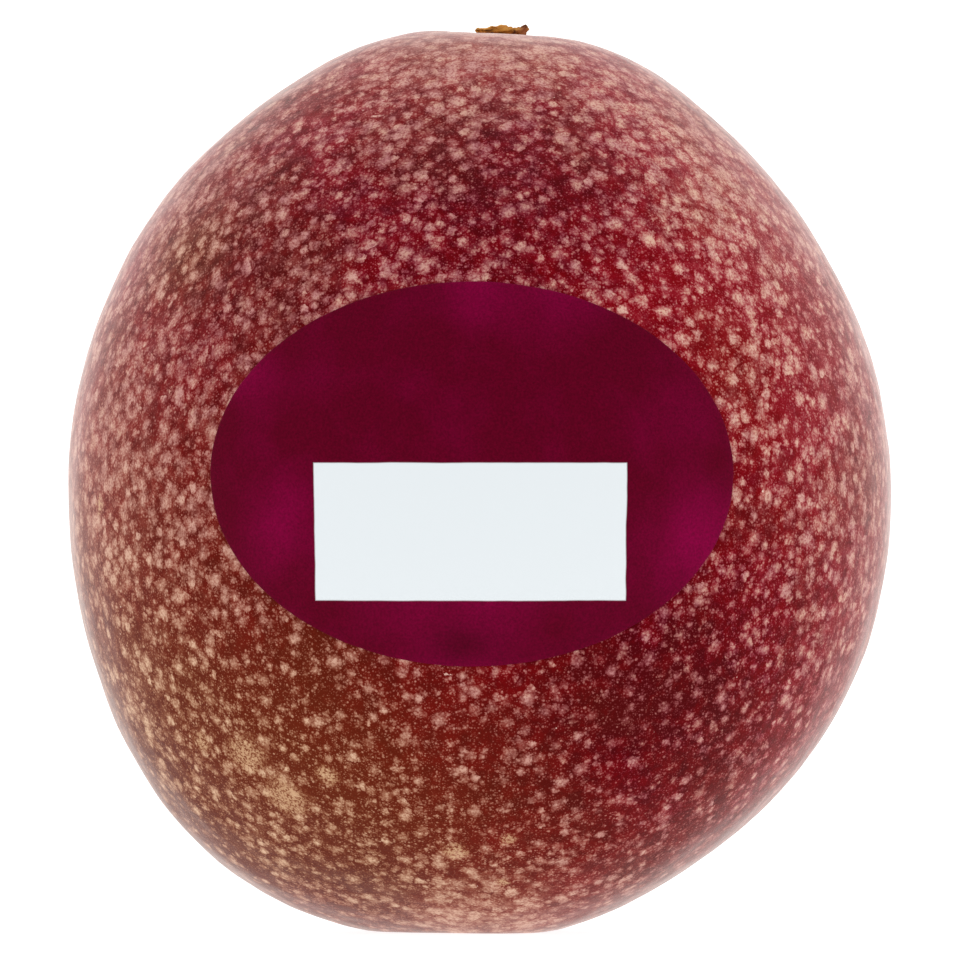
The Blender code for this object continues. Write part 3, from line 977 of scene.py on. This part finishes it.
def make_stage(stage, fruit):
    """A round white table, a white sky that is brighter behind, a soft light above, the camera."""
    scene = bpy.context.scene
    ring = np.radians(np.linspace(0.0, 360.0, 96, endpoint=False))
    outline = stage.floor_radius * np.stack([np.cos(ring), np.sin(ring), 0.0 * ring], axis=-1)
    mesh = bpy.data.meshes.new("table")
    mesh.from_pydata(outline.tolist(), [], [list(range(len(outline)))])
    show("table", mesh, floor_material(stage))

    world = bpy.data.worlds.new("White studio")
    world.use_nodes = True
    sky = world.node_tree
    sky.nodes.clear()
    heading = add_node(sky, "ShaderNodeSeparateXYZ", {
        "Vector": add_node(sky, "ShaderNodeTexCoord").outputs["Generated"]})
    strength = add_node(sky, "ShaderNodeMapRange", {
        "Value": heading.outputs["Y"], "From Min": -1.0, "From Max": 1.0,
        "To Min": stage.sky_front, "To Max": stage.sky_behind})
    background = add_node(sky, "ShaderNodeBackground", {
        "Color": (1.0, 1.0, 1.0), "Strength": strength})
    add_node(sky, "ShaderNodeOutputWorld", {"Surface": background})
    scene.world = world
    scene.view_settings.view_transform = "Standard"

    light = bpy.data.lights.new("softbox", "AREA")
    light.shape, light.size, light.energy = "DISK", SOFTBOX_SIZE, stage.softbox_power
    softbox = bpy.data.objects.new("softbox", light)
    softbox.location = (0.0, 0.0, SOFTBOX_HEIGHT)
    scene.collection.objects.link(softbox)

    data = bpy.data.cameras.new("camera")
    data.lens, data.sensor_width = stage.lens, SENSOR_WIDTH
    data.clip_start, data.clip_end = CAMERA_REACH
    camera = bpy.data.objects.new("camera", data)
    centre = fruit_centre(fruit)
    away = data.lens / data.sensor_width * PHOTO_PIXELS * PIXEL
    camera.location = (centre[0], centre[1] - away, (GROUND_ROW - MIDDLE) * PIXEL)
    camera.rotation_euler = (0.5 * np.pi, 0.0, 0.0)
    scene.collection.objects.link(camera)
    scene.camera = camera


class PASSIONFRUIT_OT_fruit(bpy.types.Operator):
    """Makes the fruit with its speckled rind"""
    bl_idname = "passionfruit.fruit"
    bl_label = "Fruit"

    def execute(self, context):
        piece = make_fruit(context.scene.passion_fruit)
        dress(piece, "fruit")
        return {"FINISHED"}


class PASSIONFRUIT_OT_stalk(bpy.types.Operator):
    """Makes the dry stalk end in the hollow on top"""
    bl_idname = "passionfruit.stalk"
    bl_label = "Stalk end"

    def execute(self, context):
        piece = make_stalk(context.scene.passion_stalk, context.scene.passion_fruit)
        dress(piece, "stem_stub")
        return {"FINISHED"}


class PASSIONFRUIT_OT_sticker(bpy.types.Operator):
    """Makes the blank oval sticker on the front"""
    bl_idname = "passionfruit.sticker"
    bl_label = "Sticker"

    def execute(self, context):
        piece = make_sticker(context.scene.passion_sticker, context.scene.passion_fruit)
        dress(piece, "sticker")
        return {"FINISHED"}


class PASSIONFRUIT_OT_stage(bpy.types.Operator):
    """Makes the white table, the light and the camera"""
    bl_idname = "passionfruit.stage"
    bl_label = "Stage"

    def execute(self, context):
        make_stage(context.scene.passion_stage, context.scene.passion_fruit)
        return {"FINISHED"}


class PASSIONFRUIT_PT_pieces(bpy.types.Panel):
    """Lists the pieces and their settings in the 3D view's sidebar"""
    bl_idname = "PASSIONFRUIT_PT_pieces"
    bl_label = "Passion fruit"
    bl_space_type = "VIEW_3D"
    bl_region_type = "UI"
    bl_category = "Passion fruit"

    def draw(self, context):
        for operator, settings in (
                ("passionfruit.fruit", context.scene.passion_fruit),
                ("passionfruit.stalk", context.scene.passion_stalk),
                ("passionfruit.sticker", context.scene.passion_sticker),
                ("passionfruit.stage", context.scene.passion_stage)):
            box = self.layout.box()
            box.operator(operator)
            for name in settings.__annotations__:
                box.prop(settings, name)


SETTINGS = {
    "passion_fruit": FruitSettings,
    "passion_stalk": StalkSettings,
    "passion_sticker": StickerSettings,
    "passion_stage": StageSettings,
}
CLASSES = (
    *SETTINGS.values(), PASSIONFRUIT_OT_fruit, PASSIONFRUIT_OT_stalk, PASSIONFRUIT_OT_sticker,
    PASSIONFRUIT_OT_stage, PASSIONFRUIT_PT_pieces,
)


def register():
    """Registers the classes and gives every scene its settings."""
    for each in CLASSES:
        bpy.utils.register_class(each)
    for name, group in SETTINGS.items():
        setattr(bpy.types.Scene, name, bpy.props.PointerProperty(type=group))


def unregister():
    """Takes the settings and the classes away again."""
    for name in SETTINGS:
        delattr(bpy.types.Scene, name)
    for each in reversed(CLASSES):
        bpy.utils.unregister_class(each)


def main():
    register()
    bpy.ops.passionfruit.fruit()
    bpy.ops.passionfruit.stalk()
    bpy.ops.passionfruit.sticker()
    bpy.ops.passionfruit.stage()


if __name__ == "__main__":
    main()
